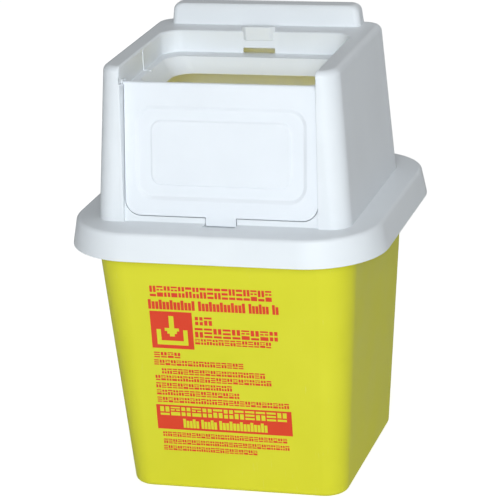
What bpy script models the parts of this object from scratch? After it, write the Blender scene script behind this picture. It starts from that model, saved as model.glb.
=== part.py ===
"""Sharps container: a tapered square tub, a press-on hopper lid with its seal, and a hinged cover.

The container stands on z = 0, centred on the origin, with its front towards -Y. Units are metres.
"""
import math

import bmesh
import bpy

MM = 0.001
GAP = 0.3 * MM
CORNER_STEPS = 8
OVERLAP = 1.0 * MM
OVERCUT = 10.0 * MM

# GAP separates pieces that only touch. Solids that are joined run OVERLAP into each other, and
# cutting solids run OVERCUT past the surface that they open.

# Tub
TUB_FOOT_HALF = 69.7 * MM
TUB_DRAFT = 12.6 / 160.4
TUB_CORNER_FOOT = 14.5 * MM
TUB_CORNER_GROWTH = 7.5 / 160.4
TUB_WALL = 2.0 * MM
TUB_FLOOR = 2.2 * MM
TUB_EDGE = 3.0 * MM
FOOT_RECESS_HALF = 55.0 * MM
FOOT_RECESS_DEPTH = 1.4 * MM
RIM_HALF = 95.0 * MM
RIM_CORNER = 42.0 * MM
RIM_TOP = 172.9 * MM
RIM_THICKNESS = 2.2 * MM
RIM_ROUND = 4.0 * MM
RIM_EDGE = 0.6 * MM
RIM_FLARE = ((0.08, 0.55), (0.25, 0.9), (0.45, 1.0))

# Lid skirt and deck
SKIRT_BOTTOM = 160.4 * MM
SKIRT_HALF = 100.0 * MM
SKIRT_CORNER = 47.0 * MM
SKIRT_DRAFT = 3.3 / 17.5
SKIRT_EDGE = 2.6 * MM
DECK_TOP = 177.6 * MM
LID_WALL = 2.2 * MM
HOLLOW_EDGE = 1.0 * MM

# Seal between the lid's deck and the tub's rim
SEAL_INSIDE_HALF = 86.0 * MM
SEAL_WIDTH = 5.0 * MM

# Hopper tower
TOWER_TOP = 273.3 * MM
TOWER_BASE = dict(half_x=80.3 * MM, front=-74.4 * MM, back=67.2 * MM)
TOWER_HEAD = dict(half_x=74.3 * MM, front=-66.4 * MM, back=64.1 * MM)
TOWER_CORNER = 12.0 * MM
TOWER_EDGE = 4.0 * MM

# Grip bar along the back of the tower's top
BAR_HALF = 62.4 * MM
BAR_FRONT = 45.7 * MM
BAR_BACK = 61.0 * MM
BAR_TOP = 286.6 * MM
BAR_CORNER = 4.0 * MM
BAR_EDGE = 5.0 * MM
BAR_SPREAD = 1.0 * MM

# Well behind the cover, with its ledge and its throat
LEDGE = 259.2 * MM
WELL_HALF = 61.4 * MM
WELL_BACK = 29.4 * MM
WELL_CORNER = 12.0 * MM
THROAT_TOP = dict(half_x=57.0 * MM, front=-48.0 * MM, back=18.5 * MM)
THROAT_END = dict(half_x=50.0 * MM, front=-43.0 * MM, back=13.5 * MM)
THROAT_CORNER = 13.0 * MM
THROAT_BOTTOM = 249.0 * MM
THROAT_WALL = 2.0 * MM
CATCH_HALF = 10.4 * MM
CATCH_FRONT = 28.2 * MM
CATCH_BOTTOM = 267.6 * MM
CATCH_TOP = 276.5 * MM
SLOT_HEIGHT = 3.2 * MM
RIB_Y = -19.0 * MM
RIB_PROUD = 0.4 * MM
RIB_WIDTH = 1.6 * MM
RIB_BELOW_TOP = 1.5 * MM

# Cover, hinged at its top edge and hanging open in front of the tower
HINGE = (0.0, -58.1 * MM, 261.0 * MM)
COVER_LEAN = math.atan2(12.7, 84.3)
BEAD_STEPS = 8
PIN_SIDES = 20
COVER_HALF = 60.7 * MM
COVER_LENGTH = 80.6 * MM
COVER_THICKNESS = 2.2 * MM
COVER_CORNER = 10.0 * MM
BEAD_RADIUS = 1.5 * MM
TONGUE_HALF = 8.0 * MM
TONGUE_TIP = 85.8 * MM
PIN_RADIUS = 1.3 * MM
PIN_END = 63.2 * MM
PIN_HOLE_RADIUS = 1.7 * MM
PIN_HOLE_END = 63.8 * MM
DISH_HALF = 55.0 * MM
DISH_FROM = 12.0 * MM
DISH_TO = 71.7 * MM
DISH_CORNER = 12.0 * MM
DISH_DEPTH = 1.0 * MM
DISH_SLOPE = 1.6 * MM
ISLAND_HALF = 44.0 * MM
ISLAND_FROM = 22.0 * MM
ISLAND_TO = 61.5 * MM
ISLAND_CORNER = 6.0 * MM
ISLAND_HEIGHT = 0.5 * MM
ISLAND_SLOPE = 0.6 * MM
SWELL_INSET = 2.0 * MM
SWELL_HEIGHT = 0.8 * MM
SWELL_SUNK = 0.5 * MM
POCKET_CLEARANCE = 0.7 * MM
POCKET_BACK = 2.0 * MM
POCKET_FRONT = 4.0 * MM
POCKET_ABOVE_HINGE = 3.0 * MM
RECESS_ABOVE_LEDGE = 3.0 * MM
RECESS_SET_BACK = 0.1 * MM
NOTCH_HALF = 10.0 * MM
NOTCH_FRONT = -78.5 * MM
NOTCH_FLOOR = 175.5 * MM
NOTCH_WALL = 1.6 * MM
NOTCH_END = TONGUE_TIP + 6.0 * MM


def clear_scene():
    for item in list(bpy.data.objects):
        bpy.data.objects.remove(item, do_unlink=True)


def plastic(name, colour, roughness):
    material = bpy.data.materials.new(name)
    material.use_nodes = True
    shader = material.node_tree.nodes["Principled BSDF"]
    shader.inputs["Base Color"].default_value = (*colour, 1.0)
    shader.inputs["Roughness"].default_value = roughness
    shader.inputs["Metallic"].default_value = 0.0
    return material


def add_object(name, bm, material=None, smooth_angle=30):
    mesh = bpy.data.meshes.new(name)
    bm.to_mesh(mesh)
    bm.free()
    thing = bpy.data.objects.new(name, mesh)
    bpy.context.scene.collection.objects.link(thing)
    if material is not None:
        mesh.materials.append(material)
    mesh.shade_smooth()
    mesh.set_sharp_from_angle(angle=math.radians(smooth_angle))
    return thing


def outline(half_x, front, back, radius, z):
    """A rounded rectangle in a level plane, anticlockwise from above."""
    centres = ((half_x - radius, back - radius), (radius - half_x, back - radius),
               (radius - half_x, front + radius), (half_x - radius, front + radius))
    points = []
    for corner, (x, y) in enumerate(centres):
        for step in range(CORNER_STEPS + 1):
            angle = math.radians(90) * (corner + step / CORNER_STEPS)
            points.append((x + radius * math.cos(angle), y + radius * math.sin(angle), z))
    return points


def square(half, radius, z):
    return outline(half, -half, half, radius, z)


def loft(name, rings, material=None):
    """One closed skin through the rings, in order, with a flat cap on the first and the last."""
    bm = bmesh.new()
    loops = [[bm.verts.new(point) for point in ring] for ring in rings]
    for lower, upper in zip(loops, loops[1:]):
        for index in range(len(lower)):
            after = (index + 1) % len(lower)
            bm.faces.new((lower[index], lower[after], upper[after], upper[index]))
    bm.faces.new(reversed(loops[0]))
    bm.faces.new(loops[-1])
    return add_object(name, bm, material)


def ring_solid(name, rings, material):
    """A closed band through the rings, whose last ring joins the first."""
    bm = bmesh.new()
    loops = [[bm.verts.new(point) for point in ring] for ring in rings]
    for lower, upper in zip(loops, loops[1:] + loops[:1]):
        for index in range(len(lower)):
            after = (index + 1) % len(lower)
            bm.faces.new((lower[index], lower[after], upper[after], upper[index]))
    return add_object(name, bm, material)


def prism(name, points, along, start, end):
    """A flat outline of (a, b) points swept along one axis: x sweeps (y, z), y sweeps (x, z)."""
    place = {"x": lambda a, b, t: (t, a, b), "y": lambda a, b, t: (a, t, b)}[along]
    bm = bmesh.new()
    near = [bm.verts.new(place(a, b, start)) for a, b in points]
    far = [bm.verts.new(place(a, b, end)) for a, b in points]
    bm.faces.new(near)
    bm.faces.new(reversed(far))
    for index in range(len(points)):
        after = (index + 1) % len(points)
        bm.faces.new((near[after], near[index], far[index], far[after]))
    bmesh.ops.recalc_face_normals(bm, faces=bm.faces)
    return add_object(name, bm)


def box(name, low, high):
    bm = bmesh.new()
    bmesh.ops.create_cube(bm, size=1.0)
    for vert in bm.verts:
        vert.co = [low[i] + (vert.co[i] + 0.5) * (high[i] - low[i]) for i in range(3)]
    return add_object(name, bm)


def as_tool(thing):
    thing.hide_render = True
    thing.display_type = "WIRE"
    return thing


def combine(target, tool, operation):
    modifier = target.modifiers.new(tool.name, "BOOLEAN")
    modifier.operation = operation
    modifier.solver = "EXACT"
    modifier.object = as_tool(tool)


def place_on_cover(thing):
    """Stands a piece drawn in the cover's own frame on the hinge axis, at the cover's lean."""
    thing.location = HINGE
    thing.rotation_euler = (-COVER_LEAN, 0.0, 0.0)
    return thing


# Tub

def tub_half(z):
    return TUB_FOOT_HALF + TUB_DRAFT * z


def tub_corner(z):
    return TUB_CORNER_FOOT + TUB_CORNER_GROWTH * z


def tub_ring(z, inset=0.0):
    return square(tub_half(z) - inset, tub_corner(z) - inset, z)


def make_tub(material):
    rim_bottom = RIM_TOP - RIM_THICKNESS
    wall_top = rim_bottom - RIM_ROUND
    floor = FOOT_RECESS_DEPTH + TUB_FLOOR
    recess_corner = TUB_CORNER_FOOT - (TUB_FOOT_HALF - FOOT_RECESS_HALF) / 2
    rings = [square(FOOT_RECESS_HALF - TUB_DRAFT * FOOT_RECESS_DEPTH, recess_corner,
                    FOOT_RECESS_DEPTH),
             square(FOOT_RECESS_HALF, recess_corner, 0.0)]
    for step in range(4):
        turn = math.radians(30 * step)
        rings.append(tub_ring(TUB_EDGE * (1 - math.cos(turn)), TUB_EDGE * (1 - math.sin(turn))))
    rings.append(tub_ring(wall_top))
    reach = RIM_HALF - tub_half(wall_top)
    for part, rise in RIM_FLARE:
        half = tub_half(wall_top) + reach * part
        corner = tub_corner(wall_top) + (RIM_CORNER - tub_corner(wall_top)) * part
        rings.append(square(half, corner, wall_top + RIM_ROUND * rise))
    rings.append(square(RIM_HALF - RIM_EDGE, RIM_CORNER - RIM_EDGE, rim_bottom))
    rings.append(square(RIM_HALF, RIM_CORNER, rim_bottom + RIM_EDGE))
    rings.append(square(RIM_HALF, RIM_CORNER, RIM_TOP - RIM_EDGE))
    rings.append(square(RIM_HALF - RIM_EDGE, RIM_CORNER - RIM_EDGE, RIM_TOP))
    mouth = tub_half(wall_top) - TUB_WALL
    mouth_corner = tub_corner(wall_top) - TUB_WALL
    for turn in (90, 60, 30):
        across = RIM_ROUND * (1 - math.cos(math.radians(turn)))
        up = RIM_ROUND * math.sin(math.radians(turn))
        rings.append(square(mouth + across, mouth_corner + across, RIM_TOP - RIM_ROUND + up))
    rings.append(square(mouth, mouth_corner, RIM_TOP - RIM_ROUND))
    for turn in (0, 30, 60, 90):
        across = TUB_EDGE * (1 - math.cos(math.radians(turn)))
        down = TUB_EDGE * math.sin(math.radians(turn))
        rings.append(tub_ring(floor + TUB_EDGE - down, TUB_WALL + across))
    return loft("container_body", rings, material)


# Lid

def skirt_rings(bottom, top, inset, edge):
    """The skirt's taper up to the deck, with a rounded edge all round."""
    rings = []
    for z in (bottom, top - edge):
        half = SKIRT_HALF - SKIRT_DRAFT * (z - SKIRT_BOTTOM) - inset
        corner = SKIRT_CORNER - (SKIRT_HALF - half)
        rings.append(square(half, corner, z))
    for turn in (30, 60, 90):
        across = edge * (1 - math.cos(math.radians(turn)))
        rise = edge * math.sin(math.radians(turn))
        rings.append(square(half - across, corner - across, top - edge + rise))
    return rings


def tower_ring(z, inset):
    part = (z - DECK_TOP) / (TOWER_TOP - DECK_TOP)
    size = {key: TOWER_BASE[key] + (TOWER_HEAD[key] - TOWER_BASE[key]) * part for key in TOWER_BASE}
    return outline(size["half_x"] - inset, size["front"] + inset, size["back"] - inset,
                   TOWER_CORNER - inset, z)


def tower_rings(bottom, top, inset, edge):
    """The tower's taper up to its rounded top edge."""
    rings = [tower_ring(bottom, inset), tower_ring(top - edge, inset)]
    for turn in (22.5, 45, 67.5, 90):
        across = edge * (1 - math.cos(math.radians(turn)))
        rise = edge * math.sin(math.radians(turn))
        rings.append(tower_ring(top - edge + rise, inset + across))
    return rings


def bar_rings(bottom, inset):
    """The grip bar, which narrows by BAR_SPREAD up to its rounded top edge."""
    top = BAR_TOP - inset
    edge = BAR_EDGE - inset
    levels = [(bottom, 0.0), (top - edge, BAR_SPREAD)]
    for turn in (30, 60, 90):
        levels.append((top - edge + edge * math.sin(math.radians(turn)),
                       BAR_SPREAD + edge * (1 - math.cos(math.radians(turn)))))
    return [outline(BAR_HALF - inset - across, BAR_FRONT + inset + across / 2,
                    BAR_BACK - inset - across / 2, BAR_CORNER - inset, z) for z, across in levels]


def well_rings(bottom, grow):
    """The well, which is open at the top and at the front."""
    front = TOWER_BASE["front"] - OVERCUT
    return [outline(WELL_HALF + grow, front, WELL_BACK + grow, WELL_CORNER + grow, z)
            for z in (bottom, TOWER_TOP + OVERCUT)]


def throat_rings(grow, above, below):
    """The funnel from the ledge down to the throat's mouth, carried on above and below."""
    drop = LEDGE - THROAT_BOTTOM
    rings = []
    for z in (THROAT_BOTTOM - below, LEDGE + above):
        part = (LEDGE - z) / drop
        size = {key: THROAT_TOP[key] + (THROAT_END[key] - THROAT_TOP[key]) * part
                for key in THROAT_TOP}
        rings.append(outline(size["half_x"] + grow, size["front"] - grow, size["back"] + grow,
                             THROAT_CORNER + grow, z))
    return rings


def cover_outline(grow, tongue_half, tongue_end, top):
    """The cover's shape in its own x and z: round lower corners and a tongue at mid-width."""
    half = COVER_HALF + grow
    corner = COVER_CORNER + grow
    bottom = -COVER_LENGTH - grow
    points = [(half, top)]
    for step in range(CORNER_STEPS + 1):
        angle = -math.radians(90) * step / CORNER_STEPS
        points.append((half - corner + corner * math.cos(angle),
                       bottom + corner + corner * math.sin(angle)))
    points += [(tongue_half, bottom), (tongue_half, -tongue_end),
               (-tongue_half, -tongue_end), (-tongue_half, bottom)]
    for step in range(CORNER_STEPS + 1):
        angle = -math.radians(90) * (1 + step / CORNER_STEPS)
        points.append((corner - half + corner * math.cos(angle),
                       bottom + corner + corner * math.sin(angle)))
    points.append((-half, top))
    return points


def front_of_cover(set_back, half, bottom):
    """All the room in front of the hanging cover's face, set back by a little, above the deck."""
    slope = math.tan(COVER_LEAN)
    face = BEAD_RADIUS / math.cos(COVER_LEAN) - set_back
    top = LEDGE + RECESS_ABOVE_LEDGE
    far = TOWER_BASE["front"] - OVERCUT

    def face_y(z):
        return HINGE[1] - (HINGE[2] - z) * slope - face

    section = [(far, bottom), (face_y(bottom), bottom), (face_y(top), top), (far, top)]
    return prism("recess", section, "x", -half, half)


def cover_pocket(name, grow, back):
    """The pocket behind the cover, with the tongue's notch in the sill under it."""
    shape = cover_outline(POCKET_CLEARANCE + grow, NOTCH_HALF + grow, NOTCH_END,
                          POCKET_ABOVE_HINGE)
    return place_on_cover(prism(name, shape, "y", -POCKET_FRONT, back))


def make_cavity():
    """The lid's hollow underside: the skirt's, the tower's and the bar's, less the well's walls."""
    cavity = loft("lid_cavity", skirt_rings(SKIRT_BOTTOM - OVERLAP, DECK_TOP - LID_WALL, LID_WALL,
                                            HOLLOW_EDGE))
    tower = loft("tower_cavity", tower_rings(DECK_TOP - LID_WALL - OVERLAP, TOWER_TOP - LID_WALL,
                                             LID_WALL, TOWER_EDGE - LID_WALL))
    combine(cavity, tower, "UNION")
    bar = loft("bar_cavity", bar_rings(TOWER_TOP - LID_WALL - OVERLAP, LID_WALL))
    combine(cavity, bar, "UNION")
    combine(cavity, loft("well_walls", well_rings(LEDGE - LID_WALL, LID_WALL)), "DIFFERENCE")
    combine(cavity, loft("throat_walls", throat_rings(THROAT_WALL, -OVERLAP, 0.0)), "DIFFERENCE")
    front = front_of_cover(LID_WALL, WELL_HALF + LID_WALL, DECK_TOP - LID_WALL)
    front.name = "recess_walls"
    combine(cavity, front, "DIFFERENCE")
    combine(cavity, cover_pocket("pocket_walls", LID_WALL, POCKET_BACK + LID_WALL), "DIFFERENCE")
    notch = box("notch_walls", (-NOTCH_HALF - NOTCH_WALL, NOTCH_FRONT - NOTCH_WALL,
                                NOTCH_FLOOR - NOTCH_WALL),
                (NOTCH_HALF + NOTCH_WALL, HINGE[1], DECK_TOP))
    combine(cavity, notch, "DIFFERENCE")
    return cavity


def make_lid(material):
    lid = loft("lid_hopper", skirt_rings(SKIRT_BOTTOM, DECK_TOP, 0.0, SKIRT_EDGE), material)
    tower = loft("tower_outside", tower_rings(DECK_TOP - OVERLAP, TOWER_TOP, 0.0, TOWER_EDGE))
    combine(lid, tower, "UNION")
    combine(lid, loft("bar_outside", bar_rings(TOWER_TOP - OVERLAP, 0.0)), "UNION")
    combine(lid, make_cavity(), "DIFFERENCE")
    combine(lid, loft("well", well_rings(LEDGE, 0.0)), "DIFFERENCE")
    combine(lid, loft("throat", throat_rings(0.0, OVERLAP, OVERLAP)), "DIFFERENCE")
    combine(lid, front_of_cover(RECESS_SET_BACK, WELL_HALF, DECK_TOP), "DIFFERENCE")
    pocket = cover_pocket("pocket", 0.0, POCKET_BACK)
    above_deck = box("above_deck", (-SKIRT_HALF, -SKIRT_HALF, NOTCH_FLOOR),
                     (SKIRT_HALF, SKIRT_HALF, TOWER_TOP))
    combine(pocket, above_deck, "INTERSECT")
    combine(lid, pocket, "DIFFERENCE")
    notch = box("notch", (-NOTCH_HALF, NOTCH_FRONT, NOTCH_FLOOR),
                (NOTCH_HALF, HINGE[1] - COVER_LENGTH * math.sin(COVER_LEAN), DECK_TOP + OVERLAP))
    combine(lid, notch, "DIFFERENCE")
    catch = box("catch", (-CATCH_HALF, CATCH_FRONT, CATCH_BOTTOM),
                (CATCH_HALF, WELL_BACK + LID_WALL / 2, CATCH_TOP))
    combine(lid, catch, "UNION")
    slot = box("slot", (-CATCH_HALF, WELL_BACK - OVERLAP, LEDGE),
               (CATCH_HALF, WELL_BACK + 2 * LID_WALL, LEDGE + SLOT_HEIGHT))
    combine(lid, slot, "DIFFERENCE")
    for name, side in (("rib_left", -1), ("rib_right", 1)):
        reach = sorted((side * (WELL_HALF - RIB_PROUD), side * (WELL_HALF + OVERLAP)))
        rib = box(name, (reach[0], RIB_Y, LEDGE - OVERLAP),
                  (reach[1], RIB_Y + RIB_WIDTH, TOWER_TOP - RIB_BELOW_TOP))
        combine(lid, rib, "UNION")
    combine(lid, rod("pin_holes", PIN_HOLE_RADIUS, PIN_HOLE_END), "DIFFERENCE")
    return lid


def make_seal(material):
    """A flat foam ring between the lid's deck and the tub's rim."""
    low = RIM_TOP + GAP
    high = DECK_TOP - LID_WALL - GAP
    inside_corner = RIM_CORNER - (RIM_HALF - SEAL_INSIDE_HALF)
    outside = SEAL_INSIDE_HALF + SEAL_WIDTH
    rings = [square(SEAL_INSIDE_HALF, inside_corner, low),
             square(outside, inside_corner + SEAL_WIDTH, low),
             square(outside, inside_corner + SEAL_WIDTH, high),
             square(SEAL_INSIDE_HALF, inside_corner, high)]
    return ring_solid("lid_seal", rings, material)


# Cover

def rod(name, radius, half_length):
    """A round bar along X on the hinge axis."""
    turns = [math.tau * side / PIN_SIDES for side in range(PIN_SIDES)]
    points = [(radius * math.cos(turn), radius * math.sin(turn)) for turn in turns]
    piece = prism(name, points, "x", -half_length, half_length)
    piece.location = HINGE
    return piece


def panel_frustum(name, half, start, end, corner, near, far, slope):
    """A shallow panel on the cover: a rounded rectangle that narrows by slope from near to far."""
    rings = []
    for y, inset in ((near, 0.0), (far, slope)):
        level = outline(half - inset, -end + inset, -start - inset, corner - inset, 0.0)
        rings.append([(x, y, z) for x, z, _ in level])
    bm = bmesh.new()
    loops = [[bm.verts.new(point) for point in ring] for ring in rings]
    for index in range(len(loops[0])):
        after = (index + 1) % len(loops[0])
        bm.faces.new((loops[0][index], loops[0][after], loops[1][after], loops[1][index]))
    bm.faces.new(reversed(loops[0]))
    bm.faces.new(loops[1])
    bmesh.ops.recalc_face_normals(bm, faces=bm.faces)
    return place_on_cover(add_object(name, bm))


def make_cover(material):
    face = -BEAD_RADIUS
    back = face + COVER_THICKNESS
    reach = 2 * COVER_LENGTH
    meet = math.degrees(math.acos(back / BEAD_RADIUS))
    section = [(face, -reach)]
    for step in range(BEAD_STEPS + 1):
        angle = math.radians(180 - (180 + meet) * step / BEAD_STEPS)
        section.append((BEAD_RADIUS * math.cos(angle), BEAD_RADIUS * math.sin(angle)))
    section.append((back, -reach))
    width = COVER_HALF + OVERLAP
    cover = place_on_cover(prism("cover_flap", section, "x", -width, width))
    cover.data.materials.append(material)
    shape = prism("cover_shape", cover_outline(0.0, TONGUE_HALF, TONGUE_TIP, OVERCUT), "y",
                  -OVERCUT, OVERCUT)
    combine(cover, place_on_cover(shape), "INTERSECT")
    dish = panel_frustum("dish", DISH_HALF, DISH_FROM, DISH_TO, DISH_CORNER,
                         face - DISH_DEPTH, face + DISH_DEPTH, DISH_SLOPE)
    island = panel_frustum("island", ISLAND_HALF, ISLAND_FROM, ISLAND_TO, ISLAND_CORNER,
                           face + DISH_DEPTH - ISLAND_HEIGHT, face + 2 * DISH_DEPTH,
                           -ISLAND_SLOPE)
    combine(dish, island, "DIFFERENCE")
    combine(cover, dish, "DIFFERENCE")
    swell = panel_frustum("swell", DISH_HALF - SWELL_INSET, DISH_FROM + SWELL_INSET,
                          DISH_TO - SWELL_INSET, DISH_CORNER - SWELL_INSET, back - SWELL_SUNK,
                          back + SWELL_HEIGHT, SWELL_HEIGHT)
    combine(cover, swell, "UNION")
    combine(cover, rod("hinge_pins", PIN_RADIUS, PIN_END), "UNION")
    return cover


def build():
    clear_scene()
    make_tub(plastic("yellow_polypropylene", (0.72, 0.75, 0.06), 0.35))
    make_lid(plastic("white_polypropylene", (0.86, 0.88, 0.90), 0.38))
    make_cover(plastic("white_cover_polypropylene", (0.87, 0.89, 0.92), 0.38))
    make_seal(plastic("grey_foam", (0.35, 0.35, 0.36), 0.9))


build()
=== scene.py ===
"""A four-litre sharps container, as moulded: tub, print, seal, hopper lid and hanging cover."""

import math

import bmesh
import bpy
from mathutils import Matrix, Vector


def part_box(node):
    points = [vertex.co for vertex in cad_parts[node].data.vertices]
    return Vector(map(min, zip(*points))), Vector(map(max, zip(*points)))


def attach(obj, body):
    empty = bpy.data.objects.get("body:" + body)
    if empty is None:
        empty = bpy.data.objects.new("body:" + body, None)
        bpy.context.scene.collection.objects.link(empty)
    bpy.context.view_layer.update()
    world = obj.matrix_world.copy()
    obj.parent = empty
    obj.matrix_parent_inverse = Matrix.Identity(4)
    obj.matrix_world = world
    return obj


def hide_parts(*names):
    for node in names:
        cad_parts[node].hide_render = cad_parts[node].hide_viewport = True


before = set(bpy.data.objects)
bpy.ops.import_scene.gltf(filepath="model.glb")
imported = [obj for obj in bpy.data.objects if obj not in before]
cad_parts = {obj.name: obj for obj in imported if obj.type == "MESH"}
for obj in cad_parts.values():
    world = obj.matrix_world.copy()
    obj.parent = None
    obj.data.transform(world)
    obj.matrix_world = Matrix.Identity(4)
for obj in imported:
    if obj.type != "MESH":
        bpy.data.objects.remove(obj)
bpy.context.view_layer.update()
MM = 0.001

# --- Studio ---------------------------------------------------------------------------------
# A pale table under one large soft light at the front, with weak ones behind and above, in a
# pale room that is dimmer on the left. The view is from the front right and a little above.

bpy.context.scene.view_settings.view_transform = "Standard"

VIEW_AZIMUTH = math.radians(16.38)
VIEW_HEIGHT = math.radians(18.43)
VIEW_ROLL = math.radians(2.8)
VIEW_DISTANCE = 1.6867
VIEW_TARGET = Vector((0.0, 0.0, 0.130))

to_camera = Vector((math.sin(VIEW_AZIMUTH) * math.cos(VIEW_HEIGHT),
                    -math.cos(VIEW_AZIMUTH) * math.cos(VIEW_HEIGHT), math.sin(VIEW_HEIGHT)))
camera_data = bpy.data.cameras.new("product_camera")
camera_data.sensor_width = 36.0
camera_data.lens = 190.1
camera_data.shift_x = -0.0123
camera_data.shift_y = 0.0223
camera_data.clip_end = 20.0
camera = bpy.data.objects.new("product_camera", camera_data)
bpy.context.scene.collection.objects.link(camera)
turned = to_camera.to_track_quat("Z", "Y").to_matrix().to_4x4()
camera.matrix_world = (Matrix.Translation(VIEW_TARGET + VIEW_DISTANCE * to_camera) @ turned
                       @ Matrix.Rotation(-VIEW_ROLL, 4, "Z"))
bpy.context.scene.camera = camera


def soft_light(name, azimuth, height, distance, size, power, colour):
    """A square softbox that faces the container from a bearing and a height, in degrees."""
    around, up = math.radians(azimuth), math.radians(height)
    away = Vector((math.sin(around) * math.cos(up), -math.cos(around) * math.cos(up),
                   math.sin(up)))
    data = bpy.data.lights.new(name, "AREA")
    data.size = size
    data.energy = power
    data.color = colour
    lamp = bpy.data.objects.new(name, data)
    lamp.location = VIEW_TARGET + distance * away
    lamp.rotation_euler = away.to_track_quat("Z", "Y").to_euler()
    bpy.context.scene.collection.objects.link(lamp)


soft_light("front_softbox", azimuth=12.0, height=18.0, distance=2.2, size=0.7, power=29.0,
           colour=(0.92, 0.97, 1.0))
soft_light("back_softbox", azimuth=168.0, height=35.0, distance=2.4, size=1.0, power=3.0,
           colour=(0.97, 0.99, 1.0))
soft_light("top_softbox", azimuth=0.0, height=75.0, distance=1.8, size=1.2, power=0.5,
           colour=(1.0, 0.99, 0.90))

ROOM_LEFT, ROOM_RIGHT = 0.12, 0.36
ROOM_SEEN = 0.72
TABLE_GLOW = 0.68

room = bpy.data.worlds.new("white_room")
room.use_nodes = True
room_light = room.node_tree.nodes["Background"]
room_light.inputs["Color"].default_value = (0.97, 0.99, 1.0, 1.0)
# The room is dimmer on the left, so that the edges on that side show.
toward = room.node_tree.nodes.new("ShaderNodeTexCoord")
split = room.node_tree.nodes.new("ShaderNodeSeparateXYZ")
dimming = room.node_tree.nodes.new("ShaderNodeMapRange")
for socket, value in (("From Min", -0.9), ("From Max", 0.1),
                      ("To Min", ROOM_LEFT), ("To Max", ROOM_RIGHT)):
    dimming.inputs[socket].default_value = value
room.node_tree.links.new(toward.outputs["Generated"], split.inputs["Vector"])
room.node_tree.links.new(split.outputs["X"], dimming.inputs["Value"])
# Where it is seen directly it looks brighter than it lights, and so does the table.
looked_at = room.node_tree.nodes.new("ShaderNodeLightPath")
brighter = room.node_tree.nodes.new("ShaderNodeMath")
brighter.operation = "MULTIPLY_ADD"
brighter.inputs[1].default_value = ROOM_SEEN
room.node_tree.links.new(looked_at.outputs["Is Camera Ray"], brighter.inputs[0])
room.node_tree.links.new(dimming.outputs["Result"], brighter.inputs[2])
room.node_tree.links.new(brighter.outputs["Value"], room_light.inputs["Strength"])
bpy.context.scene.world = room

bpy.ops.object.select_all(action="DESELECT")
bpy.ops.mesh.primitive_plane_add(size=12.0, location=(0.0, 0.0, -0.0002))
table = bpy.context.object
table.name = "table_top"
bpy.ops.object.transform_apply(location=True, rotation=True, scale=True)
table_paint = bpy.data.materials.new("pale_table")
table_paint.use_nodes = True
table_shader = table_paint.node_tree.nodes["Principled BSDF"]
table_shader.inputs["Base Color"].default_value = (0.9, 0.9, 0.9, 1.0)
table_shader.inputs["Roughness"].default_value = 0.9
table_shader.inputs["Emission Color"].default_value = (1.0, 1.0, 1.0, 1.0)
seen = table_paint.node_tree.nodes.new("ShaderNodeLightPath")
glow = table_paint.node_tree.nodes.new("ShaderNodeMath")
glow.operation = "MULTIPLY"
glow.inputs[1].default_value = TABLE_GLOW
table_paint.node_tree.links.new(seen.outputs["Is Camera Ray"], glow.inputs[0])
table_paint.node_tree.links.new(glow.outputs["Value"], table_shader.inputs["Emission Strength"])
table.data.materials.append(table_paint)

# --- Tub --------------------------------------------------------------------------------------
# The yellow tub is one injection moulding in polypropylene, about 2 mm thick. It tapers so that
# it leaves its mould, and its mouth flares into a flat rim that the lid presses down over.

_, tub_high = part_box("container_body")
FOOT_HALF = 69.7 * MM
FOOT_CORNER = 14.5 * MM
TUB_DRAFT = 12.6 / 160.4
CORNER_DRAFT = 7.5 / 160.4
TUB_WALL = 2.0 * MM
TUB_FLOOR = 2.2 * MM
TUB_EDGE = 3.0 * MM
RIM_HALF = tub_high[0]
RIM_TOP = tub_high[2]
RIM_CORNER = 42.0 * MM
RIM_THICKNESS = 2.2 * MM
RIM_ROUND = 4.0 * MM
FOOT_RING = 55.0 * MM
FOOT_RING_CORNER = 7.0 * MM
FOOT_RECESS = 1.4 * MM
# The underside of the flare, as shares of the way out to the rim and of the way up to it.
FLARE_STEPS = ((0.03, 0.3), (0.08, 0.55), (0.15, 0.76), (0.25, 0.9), (0.45, 0.97))
# Edges sharper than the first angle are rounded, and faces that meet under the second shade as
# one surface.
ROUNDED_FROM = math.radians(28)
SMOOTH_BELOW = math.radians(40)
FLAT_WEIGHT = 80
CORNER_STEPS = 16


def begin_piece(name):
    """An empty mesh object in edit mode, with nothing else selected."""
    bpy.ops.object.select_all(action="DESELECT")
    piece = bpy.data.objects.new(name, bpy.data.meshes.new(name))
    bpy.context.scene.collection.objects.link(piece)
    bpy.context.view_layer.objects.active = piece
    piece.select_set(True)
    bpy.ops.object.mode_set(mode="EDIT")
    return piece


def add_ring(half_x, front, back, corner, z):
    """In edit mode, a rounded rectangle of edges at one height."""
    middle = (0.0, (front + back) / 2, z)
    bpy.ops.mesh.select_all(action="DESELECT")
    bpy.ops.mesh.primitive_plane_add(size=1.0, location=middle)
    bpy.ops.transform.resize(value=(2 * half_x, back - front, 1.0), center_override=middle)
    bpy.ops.mesh.bevel(offset=corner, segments=CORNER_STEPS, affect="VERTICES")
    bpy.ops.mesh.delete(type="ONLY_FACE")


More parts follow.
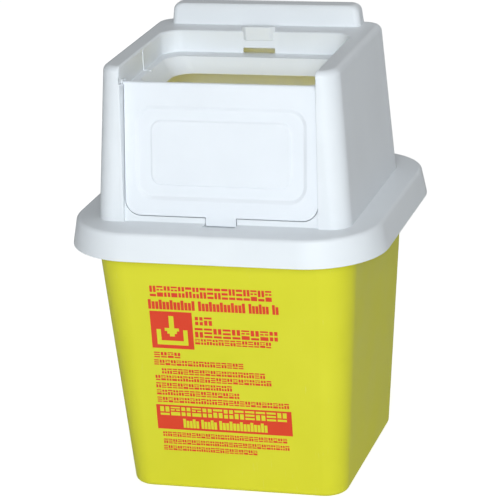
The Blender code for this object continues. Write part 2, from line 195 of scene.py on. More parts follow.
def loft(name, rings, closed_band=False):
    """Bridges rounded rectangles in order into one skin, capped at both ends unless it is a band."""
    piece = begin_piece(name)
    mesh = piece.data
    bmesh.from_edit_mesh(mesh).verts.layers.int.new("ring")
    bmesh.update_edit_mesh(mesh)
    for number, ring in enumerate(rings, start=1):
        add_ring(*ring)
        work = bmesh.from_edit_mesh(mesh)
        layer = work.verts.layers.int["ring"]
        for vert in work.verts:
            vert[layer] = vert[layer] or number
        bmesh.update_edit_mesh(mesh)

    def select_rings(wanted):
        bpy.ops.mesh.select_all(action="DESELECT")
        work = bmesh.from_edit_mesh(mesh)
        layer = work.verts.layers.int["ring"]
        for edge in work.edges:
            near, far = (vert[layer] for vert in edge.verts)
            edge.select_set(near == far and near in wanted)
        bmesh.update_edit_mesh(mesh)

    bpy.ops.mesh.select_mode(type="EDGE")
    for number in range(1, len(rings)):
        select_rings((number, number + 1))
        bpy.ops.mesh.bridge_edge_loops()
    if closed_band:
        select_rings((len(rings), 1))
        bpy.ops.mesh.bridge_edge_loops()
    else:
        for number in (1, len(rings)):
            select_rings((number,))
            bpy.ops.mesh.edge_face_add()
    bpy.ops.mesh.select_all(action="SELECT")
    bpy.ops.mesh.normals_make_consistent(inside=False)
    bpy.ops.object.mode_set(mode="OBJECT")
    return piece


def use(piece, kind, **settings):
    """Adds a modifier with its settings and applies it."""
    bpy.ops.object.select_all(action="DESELECT")
    bpy.context.view_layer.objects.active = piece
    piece.select_set(True)
    modifier = piece.modifiers.new(kind.lower(), kind)
    for name, value in settings.items():
        setattr(modifier, name, value)
    bpy.ops.object.modifier_apply(modifier=modifier.name)


def join_or_cut(piece, tool, operation):
    """One Boolean step, after which the tool is thrown away."""
    use(piece, "BOOLEAN", operation=operation, object=tool, solver="EXACT")
    bpy.data.objects.remove(tool, do_unlink=True)


def even_shading(piece):
    """Smooth shading over the rounds, with flats that stay flat."""
    bpy.ops.object.shade_smooth_by_angle(angle=SMOOTH_BELOW)
    use(piece, "WEIGHTED_NORMAL", keep_sharp=True, weight=FLAT_WEIGHT)


def soften(piece, width, segments):
    """Rounds every crisp edge a little, as a mould does, and evens the shading of the flats."""
    use(piece, "BEVEL", width=width, segments=segments, limit_method="ANGLE",
        angle_limit=ROUNDED_FROM, use_clamp_overlap=False, miter_outer="MITER_ARC",
        loop_slide=False)
    even_shading(piece)


def square(half, corner, z):
    """A ring whose four sides are equally far from the middle."""
    return (half, -half, half, corner, z)


def quarter(radius, count):
    """Inset and rise along a quarter-round edge, from its foot to its crown."""
    for step in range(count + 1):
        turn = math.radians(90) * step / count
        yield radius * (1 - math.cos(turn)), radius * math.sin(turn)


def tub_ring(z, inset=0.0):
    """The tub's outline at a height, moved in by the inset."""
    half = FOOT_HALF + TUB_DRAFT * z
    corner = FOOT_CORNER + CORNER_DRAFT * z
    return square(half - inset, corner - inset, z)


wall_top = RIM_TOP - RIM_THICKNESS - RIM_ROUND
floor_top = FOOT_RECESS + TUB_FLOOR
# The foot's flat rises by this hair towards the recess, so that its two outlines bridge cleanly.
HAIR = 0.03 * MM
tub_rings = [square(FOOT_RING - MM, FOOT_RING_CORNER - MM, FOOT_RECESS),
             square(FOOT_RING, FOOT_RING_CORNER, HAIR)]
tub_rings += [tub_ring(rise, TUB_EDGE - out) for rise, out in quarter(TUB_EDGE, 6)]
tub_rings.append(tub_ring(wall_top))
flare_half, flare_corner = tub_rings[-1][0], tub_rings[-1][3]
for across, rise in FLARE_STEPS:
    tub_rings.append(square(flare_half + across * (RIM_HALF - flare_half),
                            flare_corner + across * (RIM_CORNER - flare_corner),
                            wall_top + RIM_ROUND * rise))
tub_rings.append(square(RIM_HALF, RIM_CORNER, RIM_TOP - RIM_THICKNESS))
tub_rings.append(square(RIM_HALF, RIM_CORNER, RIM_TOP))

mouth_half, mouth_corner = flare_half - TUB_WALL, flare_corner - TUB_WALL
room_rings = [tub_ring(floor_top + TUB_EDGE - down, TUB_WALL + across)
              for across, down in reversed(list(quarter(TUB_EDGE, 5)))]
room_rings += [square(mouth_half + across, mouth_corner + across, RIM_TOP - RIM_ROUND + up + HAIR)
               for across, up in quarter(RIM_ROUND, 5)]

tub = loft("tub", tub_rings)
join_or_cut(tub, loft("room_inside", room_rings), "DIFFERENCE")
soften(tub, 0.4 * MM, 2)


def new_group(name, inputs, outputs):
    """An empty shader node group with float or vector inputs and float outputs."""
    group = bpy.data.node_groups.new(name, "ShaderNodeTree")
    for socket, kind, value in inputs:
        made = group.interface.new_socket(socket, in_out="INPUT", socket_type=kind)
        if value is not None:
            made.default_value = value
    for socket in outputs:
        group.interface.new_socket(socket, in_out="OUTPUT", socket_type="NodeSocketFloat")
    return group, group.nodes.new("NodeGroupInput"), group.nodes.new("NodeGroupOutput")


def node(tree, kind, **values):
    """A node whose named properties and unlinked inputs are set in one go."""
    made = tree.nodes.new(kind)
    for name, value in values.items():
        if name in made.inputs:
            made.inputs[name].default_value = value
        else:
            setattr(made, name, value)
    return made


# The skin of a polypropylene moulding: a fine even mould texture, a slow unevenness of colour
# and gloss where the melt cooled, and hairline scuffs from handling.
skin_group, skin_in, skin_out = new_group(
    "moulded_skin", [("Vector", "NodeSocketVector", None), ("Grain Scale", "NodeSocketFloat", 700.0),
                     ("Scuff Amount", "NodeSocketFloat", 0.5)], ["Height", "Mottle", "Scuffs"])
grain = node(skin_group, "ShaderNodeTexNoise", Detail=3.0, Roughness=0.55)
slow = node(skin_group, "ShaderNodeTexNoise", Scale=26.0, Detail=2.0, Roughness=0.5)
stretch = node(skin_group, "ShaderNodeMapping")
stretch.inputs["Scale"].default_value = (900.0, 900.0, 45.0)
stretch.inputs["Rotation"].default_value = (0.4, 0.7, 0.3)
hairs = node(skin_group, "ShaderNodeTexNoise", Scale=1.0, Detail=2.0, Roughness=0.6)
hair_ramp = node(skin_group, "ShaderNodeMapRange")
hair_ramp.inputs["From Min"].default_value = 0.66
hair_ramp.inputs["From Max"].default_value = 0.74
patches = node(skin_group, "ShaderNodeTexNoise", Scale=38.0, Detail=1.0)
patch_ramp = node(skin_group, "ShaderNodeMapRange")
patch_ramp.inputs["From Min"].default_value = 0.5
patch_ramp.inputs["From Max"].default_value = 0.65
hair_mask = node(skin_group, "ShaderNodeMath", operation="MULTIPLY")
scuffed = node(skin_group, "ShaderNodeMath", operation="MULTIPLY")
for source, target in (
        (skin_in.outputs["Vector"], grain.inputs["Vector"]),
        (skin_in.outputs["Grain Scale"], grain.inputs["Scale"]),
        (skin_in.outputs["Vector"], slow.inputs["Vector"]),
        (skin_in.outputs["Vector"], stretch.inputs["Vector"]),
        (stretch.outputs["Vector"], hairs.inputs["Vector"]),
        (hairs.outputs["Fac"], hair_ramp.inputs["Value"]),
        (skin_in.outputs["Vector"], patches.inputs["Vector"]),
        (patches.outputs["Fac"], patch_ramp.inputs["Value"]),
        (hair_ramp.outputs["Result"], hair_mask.inputs[0]),
        (patch_ramp.outputs["Result"], hair_mask.inputs[1]),
        (hair_mask.outputs["Value"], scuffed.inputs[0]),
        (skin_in.outputs["Scuff Amount"], scuffed.inputs[1]),
        (grain.outputs["Fac"], skin_out.inputs["Height"]),
        (slow.outputs["Fac"], skin_out.inputs["Mottle"]),
        (scuffed.outputs["Value"], skin_out.inputs["Scuffs"])):
    skin_group.links.new(source, target)


def plastic(name, deep, light, scuff_colour, gloss, grain_scale, grain_depth, scuffs,
            specular=0.5):
    """A moulded plastic whose colour drifts between two shades, with the moulded skin on it."""
    material = bpy.data.materials.new(name)
    material.use_nodes = True
    tree = material.node_tree
    shader = tree.nodes["Principled BSDF"]
    shader.inputs["Specular IOR Level"].default_value = specular
    place = tree.nodes.new("ShaderNodeTexCoord")
    skin = tree.nodes.new("ShaderNodeGroup")
    skin.node_tree = skin_group
    skin.inputs["Grain Scale"].default_value = grain_scale
    skin.inputs["Scuff Amount"].default_value = scuffs
    shade = node(tree, "ShaderNodeMix", data_type="RGBA")
    shade.inputs["A"].default_value = (*deep, 1.0)
    shade.inputs["B"].default_value = (*light, 1.0)
    worn = node(tree, "ShaderNodeMix", data_type="RGBA")
    worn.inputs["B"].default_value = (*scuff_colour, 1.0)
    rough = tree.nodes.new("ShaderNodeMapRange")
    rough.inputs["From Min"].default_value = 0.3
    rough.inputs["From Max"].default_value = 0.7
    rough.inputs["To Min"].default_value = gloss - 0.04
    rough.inputs["To Max"].default_value = gloss + 0.06
    rougher = node(tree, "ShaderNodeMath", operation="MULTIPLY_ADD")
    rougher.inputs[1].default_value = 0.25
    bump = tree.nodes.new("ShaderNodeBump")
    bump.inputs["Distance"].default_value = grain_depth
    bump.inputs["Strength"].default_value = 0.6
    for source, target in (
            (place.outputs["Object"], skin.inputs["Vector"]),
            (skin.outputs["Mottle"], shade.inputs["Factor"]),
            (shade.outputs["Result"], worn.inputs["A"]),
            (skin.outputs["Scuffs"], worn.inputs["Factor"]),
            (worn.outputs["Result"], shader.inputs["Base Color"]),
            (skin.outputs["Mottle"], rough.inputs["Value"]),
            (skin.outputs["Scuffs"], rougher.inputs[0]),
            (rough.outputs["Result"], rougher.inputs[2]),
            (rougher.outputs["Value"], shader.inputs["Roughness"]),
            (skin.outputs["Height"], bump.inputs["Height"]),
            (bump.outputs["Normal"], shader.inputs["Normal"])):
        tree.links.new(source, target)
    return material


def dress(piece, material, body, slot, *nodes):
    """Gives a finished piece its material and its moving body, and hides its CAD nodes; the finish
    slot is not used.
    """
    piece.data.materials.clear()
    piece.data.materials.append(material)
    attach(piece, body)
    if nodes:
        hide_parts(*nodes)


YELLOW_DEEP, YELLOW_LIGHT = (0.70, 0.68, 0.028), (0.76, 0.735, 0.042)
YELLOW_SCUFF = (0.80, 0.79, 0.25)
FINE_GRAIN = 900.0
GRAIN_DEPTH = 0.05 * MM
yellow = plastic("yellow_polypropylene", YELLOW_DEEP, YELLOW_LIGHT, YELLOW_SCUFF, gloss=0.42,
                 grain_scale=FINE_GRAIN, grain_depth=GRAIN_DEPTH, scuffs=0.25, specular=0.2)
dress(tub, yellow, "container", "tub_plastic", "container_body")

# The walls let some light through, which fills the inside with a yellow glow. A weak lamp on the
# tub's floor, facing up, stands in for it.
LAMP_HEIGHT = 10 * MM
soft_light("light_through_walls", azimuth=0.0, height=-90.0, distance=VIEW_TARGET.z - LAMP_HEIGHT,
           size=0.1, power=0.11, colour=(1.0, 0.86, 0.33))
bpy.data.objects["light_through_walls"].visible_camera = False

# --- Print ------------------------------------------------------------------------------------
# The tub's front is screen-printed in one red ink, a film a few hundredths of a millimetre thick.
# Lines of bars stand in for its text, around a square and a solid panel with bare marks in them.

INK_PROUD = 0.04 * MM
INK_SUNK = 0.03 * MM
MARK_LIFT = 0.02 * MM
BLOCK_SHARE = 0.86
STROKE_PITCH = 2.3
STROKE_SHARE = 0.82
WORD_GAP = 0.022


def front_bars(name, bars, lift, material):
    """Thin bars laid on the sloping front, each (left, right, low, high) in millimetres."""
    piece = begin_piece(name)
    near, far = -INK_PROUD - lift, INK_SUNK
    for left, right, low, high in bars:
        bpy.ops.mesh.primitive_cube_add(
            size=1.0, location=((left + right) / 2 * MM, (near + far) / 2, (low + high) / 2 * MM),
            scale=((right - left) * MM, far - near, (high - low) * MM))
    bpy.ops.object.mode_set(mode="OBJECT")
    lean = Matrix.Rotation(math.atan(TUB_DRAFT), 4, "X")
    piece.data.transform(Matrix.Translation((0.0, -FOOT_HALF, 0.0)) @ lean)
    dress(piece, material, "container", "tub_plastic")


def block_row(left, right, low, high, pitch, seed):
    """A row of square blocks, each made of a few plain bars with bare gaps between them."""
    bars = []
    count = round((right - left) / pitch)
    step = (right - left) / count
    width, tall = BLOCK_SHARE * step, high - low
    for number in range(count):
        start = left + number * step
        columns = ((0.0, 1.0), (0.0, 0.42), (0.58, 1.0))
        kind = (number * 7 + number // 3 + seed) % 5
        # Each bar names its column and its lower and upper edge as shares of the height.
        cells = (((0, 0.0, 0.22), (0, 0.39, 0.61), (0, 0.78, 1.0)),
                 ((1, 0.0, 0.42), (2, 0.0, 0.42), (1, 0.58, 1.0), (2, 0.58, 1.0)),
                 ((0, 0.0, 0.24), (1, 0.4, 1.0), (2, 0.4, 1.0)),
                 ((1, 0.0, 0.6), (2, 0.0, 0.6), (0, 0.76, 1.0)),
                 ((0, 0.0, 0.4), (1, 0.56, 0.72), (2, 0.56, 0.72), (0, 0.84, 1.0)))[kind]
        for column, foot, head in cells:
            near, far = columns[column]
            bars.append((start + near * width, start + far * width,
                         low + foot * tall, low + head * tall))
    return bars


def word_row(left, right, low, high, words):
    """A row of heavy bars with the uneven lengths and gaps of words."""
    gap = WORD_GAP * (right - left)
    scale = (right - left - gap * (len(words) - 1)) / sum(words)
    bars, x = [], left
    for length in words:
        strokes = max(1, round(length * scale / STROKE_PITCH))
        step = length * scale / strokes
        for number in range(strokes):
            high_end = high if number % 3 == 0 else high - 0.2 * (high - low)
            bars.append((x + number * step, x + (number + STROKE_SHARE) * step, low, high_end))
        x += length * scale + gap
    return bars


ink = plastic("red_ink", (0.70, 0.040, 0.010), (0.80, 0.055, 0.014), (0.80, 0.3, 0.1), gloss=0.42,
              grain_scale=FINE_GRAIN, grain_depth=0.03 * MM, scuffs=0.1)
bare = plastic("bare_tub_in_print", YELLOW_DEEP, YELLOW_LIGHT, YELLOW_SCUFF, gloss=0.42,
               grain_scale=FINE_GRAIN, grain_depth=GRAIN_DEPTH, scuffs=0.0, specular=0.2)

# The rows run from the top down. Each has its left, right, low and high ends in millimetres; a
# row of blocks adds their pitch and first pattern, and a row of words their lengths.
printed = block_row(-45.6, 32.9, 132.4, 139.6, 4.62, 2)
printed += word_row(-47.3, 36.4, 123.9, 130.4, (7, 7, 3, 1))
printed += [(-46.9, -19.7, 97.5, 122.6)]
printed += block_row(-17.9, -6.2, 114.3, 119.9, 5.8, 1)
printed += block_row(-18.5, 35.2, 106.0, 112.4, 5.95, 3)
printed += block_row(-18.9, 30.3, 101.2, 105.0, 3.78, 4)
printed += block_row(-46.3, -28.7, 91.0, 94.8, 4.4, 0)
LIST_LEFT, LIST_INDENT, LIST_TALL = -46.7, 4.5, 3.6
for number, (right, low) in enumerate((
        (11.5, 85.9), (24.9, 80.0), (28.7, 75.2), (3.0, 70.1), (7.4, 65.2), (39.0, 60.2))):
    left = LIST_LEFT + (LIST_INDENT if number == 1 else 0.0)
    printed += block_row(left, right, low, low + LIST_TALL, 3.55, number)
printed += [(-48.0, 39.7, 41.5, 58.4)]
printed += block_row(-45.0, 36.2, 36.3, 39.5, 3.1, 1)
printed += block_row(-44.9, 37.3, 31.3, 34.5, 3.1, 3)
printed += block_row(-45.3, 16.3, 26.7, 29.9, 3.1, 0)
front_bars("printed_ink", printed, 0.0, ink)

# The square shows an arrow going down into a tray; the panel shows two rows of blocks.
unprinted = [(-34.9, -31.7, 111.4, 119.6), (-37.9, -28.7, 109.4, 111.4),
             (-36.4, -30.2, 107.6, 109.4), (-34.9, -31.7, 105.8, 107.6),
             (-43.3, -40.5, 102.9, 110.4), (-26.1, -23.3, 102.9, 110.4),
             (-43.3, -23.3, 100.0, 102.9)]
unprinted += block_row(-45.5, 37.5, 51.2, 57.2, 7.0, 2)
unprinted += word_row(-31.0, 24.0, 43.0, 49.2, (4, 4, 12))
front_bars("bare_marks", unprinted, MARK_LIFT, bare)

# --- Lid --------------------------------------------------------------------------------------
# The white lid is one moulding too: a deep skirt over the tub's rim, a hollow tapered tower, the
# well that the cover closes onto, and a hollow grip bar along the back of the top.

lid_low, lid_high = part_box("lid_hopper")
LID_WALL = 2.2 * MM
SKIRT_HALF = lid_high[0]
SKIRT_BOTTOM = lid_low[2]
SKIRT_CORNER = 47.0 * MM
SKIRT_DRAFT = 3.3 / 17.5
SKIRT_EDGE = 2.6 * MM
DECK_TOP = 177.6 * MM
TOWER_TOP = 273.3 * MM
TOWER_BASE = (80.3 * MM, -74.4 * MM, 67.2 * MM)
TOWER_HEAD = (74.3 * MM, -66.4 * MM, 64.1 * MM)
TOWER_CORNER = 12.0 * MM
TOWER_EDGE = 4.0 * MM
BAR_TOP = lid_high[2]
BAR_HALF = 62.4 * MM
BAR_FRONT, BAR_BACK = 45.7 * MM, 61.0 * MM
BAR_CORNER = 4.0 * MM
BAR_EDGE = 5.0 * MM
LEDGE = 259.2 * MM
WELL_HALF = 61.4 * MM
WELL_BACK = 29.4 * MM
WELL_CORNER = 12.0 * MM
WELL_FLARE = 1.6 * MM
THROAT_BOTTOM = 249.0 * MM
THROAT_HEAD = (57.0 * MM, -48.0 * MM, 18.5 * MM)
THROAT_FOOT = (50.0 * MM, -43.0 * MM, 13.5 * MM)
THROAT_CORNER = 13.0 * MM
HINGE = Vector((0.0, -58.1 * MM, 261.0 * MM))
COVER_LEAN = math.atan2(12.7, 84.3)
BEAD_RADIUS = 1.5 * MM
COVER_HALF = 60.95 * MM
COVER_GAP = 0.45 * MM
COVER_LENGTH = 80.6 * MM
TONGUE_TIP = 85.8 * MM
POCKET_BACK = 2.0 * MM
NOTCH_HALF = 10.0 * MM
NOTCH_FRONT = -78.5 * MM
NOTCH_FLOOR = 175.8 * MM
NOTCH_WALL = 1.6 * MM
# How far a cutting shape runs past the face that it opens.
OVERCUT = 10 * MM


def skirt(bottom, top, inset, edge):
    """The skirt's outlines, which lean in on the way up and end in a round edge at the deck."""
    rings = []
    for z in (bottom, top - edge):
        half = SKIRT_HALF - SKIRT_DRAFT * (z - SKIRT_BOTTOM) - inset
        corner = SKIRT_CORNER - (SKIRT_HALF - half)
        rings.append(square(half, corner, z))
    for across, rise in list(quarter(edge, 5))[1:]:
        rings.append(square(half - across, corner - across, top - edge + rise))
    return rings


def tower(bottom, top, inset, edge):
    """The tower's outlines, which lean in on the way up and end in a round edge."""
    def ring(z, across):
        part = (z - DECK_TOP) / (TOWER_TOP - DECK_TOP)
        half, front, back = (low + (high - low) * part for low, high in zip(TOWER_BASE, TOWER_HEAD))
        return (half - across, front + across, back - across, TOWER_CORNER - across, z)
    return [ring(bottom, inset)] + [ring(top - edge + rise, inset + across)
                                    for across, rise in quarter(edge, 6)]


def bar(bottom, inset):
    """The grip bar's outlines, which lean in by a millimetre and end in a round top."""
    top, edge = BAR_TOP - inset, BAR_EDGE - inset
    levels = [(bottom, 0.0)]
    levels += [(top - edge + rise, MM + across) for across, rise in quarter(edge, 6)]
    return [(BAR_HALF - inset - across, BAR_FRONT + inset + across / 2,
             BAR_BACK - inset - across / 2, BAR_CORNER - inset, z) for z, across in levels]


def well(bottom, grow, flare):
    """The well cut down from the top, opening out in a small round at the rim."""
    front = TOWER_BASE[1] - OVERCUT
    # The round ends a hair above the tower's top, so that it leaves no face lying in it.
    crown = TOWER_TOP + 0.05 * MM
    rings = [(WELL_HALF + grow, front, WELL_BACK + grow, WELL_CORNER + grow, bottom)]
    for across, rise in quarter(flare, 5):
        out = grow + across
        rings.append((WELL_HALF + out, front, WELL_BACK + out, WELL_CORNER + out,
                      crown - flare + rise))
    rings.append((*rings[-1][:4], TOWER_TOP + 2 * OVERCUT))
    return rings


def throat(grow, above, below):
    """The funnel down from the ledge, carried on past its head and its foot."""
    rings = []
    for z in (THROAT_BOTTOM - below, LEDGE + above):
        part = (LEDGE - z) / (LEDGE - THROAT_BOTTOM)
        half, front, back = (head + (foot - head) * part
                             for head, foot in zip(THROAT_HEAD, THROAT_FOOT))
        rings.append((half + grow, front - grow, back + grow, THROAT_CORNER + grow, z))
    return rings


def swept(name, points, axis, start, end):
    """A flat outline filled and pushed along one axis; its points give the other two in order."""
    along = "XYZ".index(axis)

    def place(point, depth):
        return (*point[:along], depth, *point[along:])

    piece = begin_piece(name)
    work = bmesh.from_edit_mesh(piece.data)
    work.faces.new([work.verts.new(place(point, start)) for point in points])
    bmesh.update_edit_mesh(piece.data)
    bpy.ops.mesh.select_all(action="SELECT")
    push = place((0.0, 0.0), end - start)
    bpy.ops.mesh.extrude_region_move(TRANSFORM_OT_translate={"value": push})
    bpy.ops.mesh.select_all(action="SELECT")
    bpy.ops.mesh.normals_make_consistent(inside=False)
    bpy.ops.object.mode_set(mode="OBJECT")
    return piece


def block(name, low, high):
    """A cube stretched between two corners."""
    bpy.ops.object.select_all(action="DESELECT")
    middle = [(a + b) / 2 for a, b in zip(low, high)]
    bpy.ops.mesh.primitive_cube_add(size=1.0, location=middle)
    piece = bpy.context.object
    piece.name = name
    piece.scale = [b - a for a, b in zip(low, high)]
    bpy.ops.object.transform_apply(location=True, rotation=True, scale=True)
    return piece


def hang_on_hinge(piece):
    """Turns a piece drawn upright at the origin to the cover's lean and moves it to the hinge."""
    piece.data.transform(Matrix.Translation(HINGE) @ Matrix.Rotation(-COVER_LEAN, 4, "X"))
    return piece


def hinge_rod(name, radius, half_length):
    """A round rod along the hinge's axis."""
    bpy.ops.object.select_all(action="DESELECT")
    bpy.ops.mesh.primitive_cylinder_add(vertices=32, radius=radius, depth=2 * half_length,
                                        location=HINGE, rotation=(0.0, math.radians(90), 0.0))
    piece = bpy.context.object
    piece.name = name
    bpy.ops.object.transform_apply(location=True, rotation=True, scale=True)
    return piece


def cover_shape(grow, tongue_half, tongue_end, top):
    """The cover's outline in x and z below the hinge, with round lower corners and its tongue."""
    half, corner, bottom = COVER_HALF + grow, 10.0 * MM + grow, -COVER_LENGTH - grow
    points = [(half, top)]
    for step in range(17):
        turn = -math.radians(90) * step / 16
        points.append((half - corner + corner * math.cos(turn),
                       bottom + corner + corner * math.sin(turn)))
    points += [(tongue_half, bottom), (tongue_half, -tongue_end)]
    return points + [(-x, z) for x, z in reversed(points)]


def front_of_cover(name, set_back, half, bottom):
    """The room in front of the hanging cover's face, from the deck up."""
    slope = math.tan(COVER_LEAN)
    face = BEAD_RADIUS / math.cos(COVER_LEAN) - set_back
    top, far = LEDGE + 3 * MM, TOWER_BASE[1] - OVERCUT
    low_y = HINGE.y - (HINGE.z - bottom) * slope - face
    high_y = HINGE.y - (HINGE.z - top) * slope - face
    return swept(name, [(far, bottom), (low_y, bottom), (high_y, top), (far, top)], "X",
                 -half, half)


def cover_pocket(name, grow):
    """The room that the hanging cover and its tongue need in the tower's front."""
    shape = cover_shape(COVER_GAP + grow, NOTCH_HALF + grow, TONGUE_TIP + 6 * MM, 3 * MM)
    return hang_on_hinge(swept(name, shape, "Y", -4 * MM, POCKET_BACK + grow))


hollow = loft("hollow", skirt(SKIRT_BOTTOM - MM, DECK_TOP - LID_WALL, LID_WALL, MM))
inside_tower = tower(DECK_TOP - LID_WALL - MM, TOWER_TOP - LID_WALL, LID_WALL,
                     TOWER_EDGE - LID_WALL)
join_or_cut(hollow, loft("inside_tower", inside_tower), "UNION")
join_or_cut(hollow, loft("inside_bar", bar(TOWER_TOP - LID_WALL - MM, LID_WALL)), "UNION")
join_or_cut(hollow, loft("well_wall", well(LEDGE - LID_WALL, LID_WALL, 0.0)[::7]), "DIFFERENCE")
join_or_cut(hollow, loft("throat_wall", throat(2.0 * MM, -MM, 0.0)), "DIFFERENCE")
join_or_cut(hollow, front_of_cover("recess_wall", LID_WALL, WELL_HALF + LID_WALL,
                                   DECK_TOP - LID_WALL), "DIFFERENCE")
join_or_cut(hollow, cover_pocket("pocket_wall", LID_WALL), "DIFFERENCE")
notch_wall = block("notch_wall",
                   (-NOTCH_HALF - NOTCH_WALL, NOTCH_FRONT - NOTCH_WALL, NOTCH_FLOOR - NOTCH_WALL),
                   (NOTCH_HALF + NOTCH_WALL, HINGE.y, DECK_TOP))
join_or_cut(hollow, notch_wall, "DIFFERENCE")

lid = loft("hopper_lid", skirt(SKIRT_BOTTOM, DECK_TOP, 0.0, SKIRT_EDGE))
join_or_cut(lid, loft("tower", tower(DECK_TOP - MM, TOWER_TOP, 0.0, TOWER_EDGE)), "UNION")
join_or_cut(lid, loft("grip_bar", bar(TOWER_TOP - MM, 0.0)), "UNION")
join_or_cut(lid, hollow, "DIFFERENCE")
join_or_cut(lid, loft("well", well(LEDGE, 0.0, WELL_FLARE)), "DIFFERENCE")
join_or_cut(lid, loft("throat", throat(0.0, MM, MM)), "DIFFERENCE")
join_or_cut(lid, front_of_cover("recess", 0.1 * MM, WELL_HALF, DECK_TOP), "DIFFERENCE")
pocket = cover_pocket("pocket", 0.0)
join_or_cut(pocket, block("over_deck", (-SKIRT_HALF, -SKIRT_HALF, NOTCH_FLOOR),
                          (SKIRT_HALF, SKIRT_HALF, TOWER_TOP)), "INTERSECT")
join_or_cut(lid, pocket, "DIFFERENCE")
notch_back = HINGE.y - COVER_LENGTH * math.sin(COVER_LEAN)
join_or_cut(lid, block("notch", (-NOTCH_HALF, NOTCH_FRONT, NOTCH_FLOOR),
                       (NOTCH_HALF, notch_back, DECK_TOP + MM)), "DIFFERENCE")
CATCH_HALF = 10.4 * MM
SLOT_TOP = LEDGE + 3.2 * MM
join_or_cut(lid, block("slot", (-CATCH_HALF, WELL_BACK - MM, LEDGE),
                       (CATCH_HALF, WELL_BACK + 2 * LID_WALL, SLOT_TOP)), "DIFFERENCE")
# The deck round the well is cut into triangles first, because a rounded face that runs round a
# hole could otherwise be filled across it.
use(lid, "TRIANGULATE", min_vertices=5)
soften(lid, 0.45 * MM, 3)
PIN_RADIUS, PIN_REACH = 1.3 * MM, 63.2 * MM
PIN_HOLE_RADIUS, PIN_HOLE_REACH = PIN_RADIUS + 0.1 * MM, 63.8 * MM
join_or_cut(lid, hinge_rod("pin_holes", PIN_HOLE_RADIUS, PIN_HOLE_REACH), "DIFFERENCE")
even_shading(lid)

WHITE_SCUFF = (0.92, 0.93, 0.94)
WHITE_FINISH = dict(gloss=0.38, grain_scale=800.0, grain_depth=GRAIN_DEPTH, scuffs=0.2, specular=0.3)
white = plastic("white_polypropylene", (0.80, 0.83, 0.86), (0.87, 0.90, 0.93), WHITE_SCUFF,
                **WHITE_FINISH)
dress(lid, white, "lid", "lid_plastic", "lid_hopper")

# The catch over the slot, which the tongue snaps under, has sloping ends. A low guide rib runs
# down each side wall and a little way along the ledge.
CATCH_BOTTOM, CATCH_TOP = 267.6 * MM, 276.5 * MM
CATCH_FACE, CATCH_ROOT = 27.6 * MM, WELL_BACK + 1.6 * MM
face_half, root_half = CATCH_HALF - 2.6 * MM, CATCH_HALF + MM
catch = swept("catch_tab", [(-root_half, CATCH_ROOT), (-face_half, CATCH_FACE),
                            (face_half, CATCH_FACE), (root_half, CATCH_ROOT)],
              "Z", CATCH_BOTTOM, CATCH_TOP)
use(catch, "BEVEL", width=0.7 * MM, segments=4, limit_method="ANGLE", angle_limit=ROUNDED_FROM)
bpy.ops.object.shade_smooth_by_angle(angle=SMOOTH_BELOW)
dress(catch, white, "lid", "lid_plastic")
RIB_FRONT, RIB_BACK = -19.4 * MM, -17.4 * MM
RIB_TOP = TOWER_TOP - 1.5 * MM
RIB_PROUD = 0.4 * MM
FOOT_PROUD = 0.25 * MM
FOOT_REACH = 5.5 * MM
for name, side in (("guide_rib_left", -1), ("guide_rib_right", 1)):
    face, root = side * (WELL_HALF - RIB_PROUD), side * (WELL_HALF + MM)
    rib = block(name, (min(face, root), RIB_FRONT, LEDGE - MM),
                (max(face, root), RIB_BACK, RIB_TOP))
    reach = side * (WELL_HALF - FOOT_REACH)
    foot = block("rib_foot", (min(reach, root), RIB_FRONT, LEDGE - MM),
                 (max(reach, root), RIB_BACK, LEDGE + FOOT_PROUD))
    join_or_cut(rib, foot, "UNION")
    use(rib, "BEVEL", width=0.2 * MM, segments=3, limit_method="ANGLE")
    bpy.ops.object.shade_smooth_by_angle(angle=SMOOTH_BELOW)
    dress(rib, white, "lid", "lid_plastic")

# --- Seal -------------------------------------------------------------------------------------
# A flat ring of grey closed-cell foam, stuck under the lid's deck. The tub's rim squeezes it
# when the lid is pressed on.

seal_low, seal_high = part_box("lid_seal")
SEAL_WIDTH = 5.0 * MM
seal_in = seal_high[0] - SEAL_WIDTH
seal_corner = RIM_CORNER - (RIM_HALF - seal_in)
seal_rings = [square(seal_in, seal_corner, seal_low[2]),
              square(seal_high[0], seal_corner + SEAL_WIDTH, seal_low[2]),
              square(seal_high[0], seal_corner + SEAL_WIDTH, seal_high[2]),
              square(seal_in, seal_corner, seal_high[2])]
seal = loft("foam_seal", seal_rings, closed_band=True)
soften(seal, 0.3 * MM, 2)
foam = plastic("grey_foam", (0.20, 0.20, 0.21), (0.30, 0.30, 0.31), (0.4, 0.4, 0.4), gloss=0.85,
               grain_scale=2500.0, grain_depth=0.2 * MM, scuffs=0.0)
dress(seal, foam, "lid", "seal_foam", "lid_seal")

# --- Cover ------------------------------------------------------------------------------------
# The cover is a thin white plate with a round bead and two stub pins along its hinge edge. A
# shallow dish with a raised island stiffens it, and its tongue snaps under the catch.

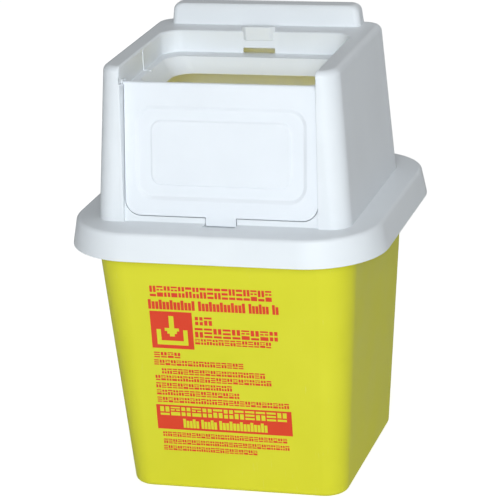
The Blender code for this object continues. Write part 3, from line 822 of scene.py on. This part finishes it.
BACK_FACE = 0.7 * MM
TONGUE_HALF = 9.6 * MM
bead_meets_back = math.acos(BACK_FACE / BEAD_RADIUS)
section = [(-BEAD_RADIUS, -2 * COVER_LENGTH)]
for step in range(17):
    turn = math.pi - (math.pi + bead_meets_back) * step / 16
    section.append((BEAD_RADIUS * math.cos(turn), BEAD_RADIUS * math.sin(turn)))
section.append((BACK_FACE, -2 * COVER_LENGTH))
cover = swept("cover_plate", section, "X", -COVER_HALF - MM, COVER_HALF + MM)
outline = swept("cover_outline", cover_shape(0.0, TONGUE_HALF, TONGUE_TIP, 5 * MM), "Y",
                -OVERCUT, OVERCUT)
join_or_cut(cover, outline, "INTERSECT")


def pressed_panel(name, half, start, end, corner, near, far, slope):
    """A rounded rectangle on the plate whose walls slope in from its near side to its far side."""
    middle = -(start + end) / 2
    size = (end - start) / 2
    rings = [(half, -size, size, corner, near),
             (half - slope, slope - size, size - slope, corner - slope, far)]
    panel = loft(name, rings)
    lay_upright = Matrix.Rotation(math.radians(90), 4, "X")
    panel.data.transform(Matrix.Translation((0.0, 0.0, middle)) @ lay_upright)
    return panel


DISH_FLOOR = BEAD_RADIUS - 1.2 * MM
ISLAND_PROUD = 0.7 * MM
SWELL_PROUD = 0.8 * MM
dish = pressed_panel("dish", half=55.9 * MM, start=11.1 * MM, end=72.6 * MM, corner=12.9 * MM,
                     near=BEAD_RADIUS + MM, far=DISH_FLOOR, slope=4.0 * MM)
island = pressed_panel("island", half=43.6 * MM, start=22.4 * MM, end=61.1 * MM, corner=6.0 * MM,
                       near=DISH_FLOOR + ISLAND_PROUD, far=DISH_FLOOR - MM, slope=-2.0 * MM)
join_or_cut(dish, island, "DIFFERENCE")
join_or_cut(cover, dish, "DIFFERENCE")
swell = pressed_panel("swell", half=53.0 * MM, start=14.0 * MM, end=69.7 * MM, corner=10.0 * MM,
                      near=-BACK_FACE + 0.5 * MM, far=-BACK_FACE - SWELL_PROUD, slope=0.8 * MM)
join_or_cut(cover, swell, "UNION")
hang_on_hinge(cover)
soften(cover, 0.35 * MM, 3)
cover_white = plastic("white_cover_polypropylene", (0.82, 0.85, 0.89), (0.88, 0.91, 0.95),
                      WHITE_SCUFF, **WHITE_FINISH)
dress(cover, cover_white, "cover", "cover_plastic", "cover_flap")

# The two stub pins are the ends of one round core that runs through the bead.
pins = hinge_rod("hinge_pins", PIN_RADIUS, PIN_REACH)
soften(pins, 0.3 * MM, 3)
dress(pins, cover_white, "cover", "cover_plastic")

bpy.context.view_layer.update()
